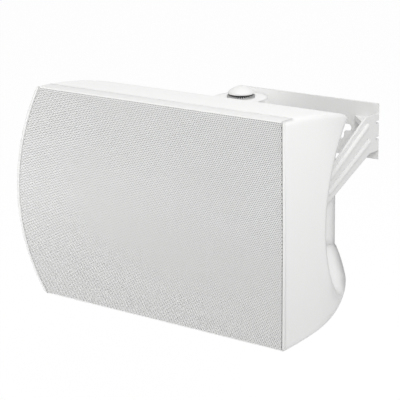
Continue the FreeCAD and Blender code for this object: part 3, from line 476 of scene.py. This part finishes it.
def grilleFlange(g, level):
    # the sheet's edge folded back over the cabinet, with holes for its two screws
    half = g["halfWidth"] - g["bow"] - g["edgeGap"] + g["endReach"]
    front = pivot.y + g["front"]
    bpy.ops.object.select_all(action="DESELECT")
    bpy.ops.mesh.primitive_cube_add(size=1, location=(0, 0, 0))
    flange = bpy.context.object
    bpy.ops.object.mode_set(mode="EDIT")
    bpy.ops.transform.resize(value=(2 * half, g["flange"], g["gauge"]))
    bpy.ops.transform.translate(value=(0, front + g["flange"] / 2,
                                       pivot.z + level * (g["halfHeight"] - g["gauge"] / 2)))
    bpy.ops.object.mode_set(mode="OBJECT")
    both = points(flange)[[tuple(edge.vertices) for edge in flange.data.edges]]
    atFront = (both[:, :, 1] < front + g["touch"]).all(axis=1)
    atTop = ((both[:, :, 2] - pivot.z) * level > g["halfHeight"] - g["touch"]).all(axis=1)
    pickEdges(flange, atFront & atTop)
    bpy.ops.mesh.bevel(offset=g["fold"], segments=g["foldSteps"])

    # a lower ledge behind the fold leaves the shadow line along the cabinet
    bpy.ops.mesh.select_all(action="SELECT")
    step = pivot.z + level * (g["halfHeight"] - g["ledgeDrop"])
    bpy.ops.mesh.bisect(plane_co=(0, 0, step), plane_no=(0, 0, 1))
    bpy.ops.object.mode_set(mode="OBJECT")
    rear = faceVectors(flange, "normal")[:, 1] > g["facing"]
    pickFaces(flange, rear & ((faceVectors(flange, "center")[:, 2] - step) * level < 0))
    bpy.ops.mesh.extrude_region_move(TRANSFORM_OT_translate={"value": (0, g["ledge"], 0)})
    bpy.ops.object.mode_set(mode="OBJECT")

    for side in (-1, 1):
        place = (side * g["screwAcross"], front + g["screwBack"], pivot.z + level * g["halfHeight"])
        bpy.ops.object.select_all(action="DESELECT")
        bpy.ops.mesh.primitive_cylinder_add(vertices=g["screwSides"], radius=g["screwHole"],
                                            depth=g["punchGauges"] * g["gauge"], location=place)
        punch = bpy.context.object
        drill = flange.modifiers.new("screwHole", "BOOLEAN")
        drill.object = punch
        onlyActive(flange)
        bpy.ops.object.modifier_apply(modifier=drill.name)
        bpy.data.objects.remove(punch)
    bpy.ops.object.shade_smooth_by_angle(angle=smoothAngle)
    return flange


grillePieces = {f"grillePanel{number}": panel for number, panel in
                enumerate(perforatedPanels(grilleSize), start=1)}
grillePieces["grilleFlangeTop"] = grilleFlange(grilleSize, 1)
grillePieces["grilleFlangeBottom"] = grilleFlange(grilleSize, -1)
for name, panel in grillePieces.items():
    panel.name = name
    panel.data.materials.clear()
    panel.data.materials.append(looks["grilleFoldShade" if "Flange" in name else "grille"])
    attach(panel, "cabinet")
    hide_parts("grille")
    print(panel.name, "faces", len(panel.data.polygons))


# serrated rings on the clamp bosses, and the dark toothed washers under their knobs, whose black is partly
# painted shade for the gap under each dome

bossHeight = 0.08201  # above the pivot
ringSize = {"inner": 0.0103, "outer": 0.0131, "teeth": 34, "height": 0.0021, "root": 0.0003, "lift": 0.0001}
washerAndShadeSize = {"inner": 0.0072, "outer": 0.0098, "teeth": 30, "notch": 0.0009, "foot": 0.0002, "top": 0.0034}


def toothCircle(teeth, radius):
    bpy.ops.object.select_all(action="DESELECT")
    bpy.ops.mesh.primitive_circle_add(vertices=2 * teeth, radius=radius, fill_type="NOTHING")
    return bpy.context.object


def onSecondSpokes(places, teeth):
    spoke = np.round(np.arctan2(places[:, 1], places[:, 0]) * teeth / math.pi).astype(int)
    return spoke % 2 == 0


def spreadBand(share):
    bpy.ops.object.mode_set(mode="EDIT")
    bpy.ops.mesh.select_all(action="SELECT")
    bpy.ops.mesh.extrude_edges_move()
    bpy.ops.transform.resize(value=(share, share, 1), center_override=(0, 0, 0))


def seatOnBoss(gap, level):
    bpy.ops.mesh.select_all(action="SELECT")
    bpy.ops.mesh.normals_make_consistent(inside=False)
    bpy.ops.transform.translate(value=(0, 0, bossHeight + gap))
    if level < 0:
        bpy.ops.transform.rotate(value=math.pi, orient_axis="X", center_override=(0, 0, 0))
    bpy.ops.transform.translate(value=pivot)
    bpy.ops.object.mode_set(mode="OBJECT")


def toothRing(r, level):
    ring = toothCircle(r["teeth"], r["inner"])
    spreadBand(r["outer"] / r["inner"])
    bpy.ops.object.mode_set(mode="OBJECT")
    places = points(ring)
    places[:, 2] = np.where(onSecondSpokes(places, r["teeth"]), r["height"], r["root"])
    setPoints(ring, places)
    onlyActive(ring)
    bpy.ops.object.mode_set(mode="EDIT")
    bpy.ops.mesh.select_all(action="SELECT")
    bpy.ops.mesh.extrude_region_move()
    bpy.ops.transform.resize(value=(1, 1, 0), center_override=(0, 0, 0))
    seatOnBoss(r["lift"], level)
    return ring


# a black toothed washer under the knob; its black also stands in for the shade in the gap under the dome
def toothWasherAndShade(w, level):
    washerAndShade = toothCircle(w["teeth"], w["outer"])
    places = points(washerAndShade)
    places[onSecondSpokes(places, w["teeth"])] *= 1 - w["notch"] / w["outer"]
    setPoints(washerAndShade, places)
    onlyActive(washerAndShade)
    spreadBand(w["inner"] / (w["outer"] - w["notch"]))
    bpy.ops.mesh.select_all(action="SELECT")
    bpy.ops.mesh.extrude_region_move(TRANSFORM_OT_translate={"value": (0, 0, w["top"] - w["foot"])})
    seatOnBoss(w["foot"], level)
    return washerAndShade


for name, level in (("Top", 1), ("Bottom", -1)):
    ring = toothRing(ringSize, level)
    ring.name = f"bossTeeth{name}"
    ring.data.materials.append(looks["cabinet"])
    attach(ring, "cabinet")
    washerAndShade = toothWasherAndShade(washerAndShadeSize, level)
    washerAndShade.name = f"knobWasherAndShade{name}"
    # black plastic, which also paints the shade under the knob's dome
    washerAndShade.data.materials.append(looks["terminal_cup"])
    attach(washerAndShade, f"knob_{name.lower()}")
print("boss teeth and washers done")


# stage, light and camera

stageSize = {"floor": -0.45, "side": 8.0, "bounce": (0.75, 0.75, 0.75), "white": (1, 1, 1),
             "glow": 0.9, "shine": 1.02, "worldLight": 0.65, "worldShown": 1.0}
lamps = {
    "overhead": {"at": (0.1, -0.3, 1.5), "aim": (0, -0.17, 0), "side": 1.0, "power": 4.7},
    "keyRight": {"at": (1.1, -1.12, 1.02), "aim": (0.1, -0.2, -0.05), "side": 0.6, "power": 13.0},
    "leftNear": {"at": (-0.8, -1.0, -0.2), "aim": (-0.1, -0.2, -0.08), "side": 0.6, "power": 5.0},
}
view = {"aim": (0, -0.2425, -0.038), "turn": 38.77, "rise": 15.99, "roll": -1.25, "away": 1.43028,
        "focal": 1621.14, "middle": (156.21, 213.9), "image": 400, "sensor": 36}


def paleFloor(s):
    # bounces as pale grey, is seen as white and still takes the object's shadow
    shader = Shader(bpy.data.materials.new("paleFloor"))
    matte = shader.add("ShaderNodeBsdfDiffuse", values={"Color": s["bounce"]})
    pale = shader.add("ShaderNodeBsdfDiffuse", values={"Color": s["white"]})
    glow = shader.add("ShaderNodeEmission", values={"Color": s["white"], "Strength": s["shine"]})
    white = shader.add("ShaderNodeMixShader", values={0: s["glow"], 1: pale, 2: glow})
    return shader.close(shader.add("ShaderNodeMixShader", values={0: shader.shownRays(), 1: matte, 2: white}))


def studioWorld(s):
    shader = Shader(bpy.data.worlds.new("studio"))
    soft = shader.add("ShaderNodeBackground", values={"Color": s["white"], "Strength": s["worldLight"]})
    bright = shader.add("ShaderNodeBackground", values={"Color": s["white"], "Strength": s["worldShown"]})
    both = shader.add("ShaderNodeMixShader", values={0: shader.shownRays(), 1: soft, 2: bright})
    return shader.close(both, "ShaderNodeOutputWorld")


bpy.ops.object.select_all(action="DESELECT")
bpy.ops.mesh.primitive_plane_add(size=stageSize["side"], location=(0, 0, stageSize["floor"]))
floor = bpy.context.object
floor.name = "floor"
floor.data.materials.append(paleFloor(stageSize))
bpy.context.scene.world = studioWorld(stageSize)

for name, lamp in lamps.items():
    data = bpy.data.lights.new(name, "AREA")
    data.shape = "SQUARE"
    data.size = lamp["side"]
    data.energy = lamp["power"]
    light = bpy.data.objects.new(name, data)
    light.location = lamp["at"]
    light.rotation_euler = (Vector(lamp["aim"]) - Vector(lamp["at"])).to_track_quat("-Z", "Y").to_euler()
    bpy.context.collection.objects.link(light)

# camera at the photograph's angle, focal length and picture middle in pixels
turn, rise, roll = (math.radians(view[key]) for key in ("turn", "rise", "roll"))
back = Vector((math.sin(turn) * math.cos(rise), -math.cos(turn) * math.cos(rise), math.sin(rise)))
right = Vector((math.cos(turn), math.sin(turn), 0))
up = back.cross(right)
rolledRight = right * math.cos(roll) + up * math.sin(roll)
rolledUp = up * math.cos(roll) - right * math.sin(roll)
cameraData = bpy.data.cameras.new("camera")
cameraData.sensor_width = view["sensor"]
cameraData.lens = view["focal"] * view["sensor"] / view["image"]
cameraData.shift_x = (view["image"] / 2 - view["middle"][0]) / view["image"]
cameraData.shift_y = (view["middle"][1] - view["image"] / 2) / view["image"]
camera = bpy.data.objects.new("camera", cameraData)
stand = Vector(view["aim"]) + back * view["away"]
camera.matrix_world = Matrix((
    (rolledRight.x, rolledUp.x, back.x, stand.x),
    (rolledRight.y, rolledUp.y, back.y, stand.y),
    (rolledRight.z, rolledUp.z, back.z, stand.z),
    (0, 0, 0, 1)))
bpy.context.collection.objects.link(camera)
bpy.context.scene.camera = camera
bpy.context.scene.view_settings.view_transform = "Standard"
print("stage ready")
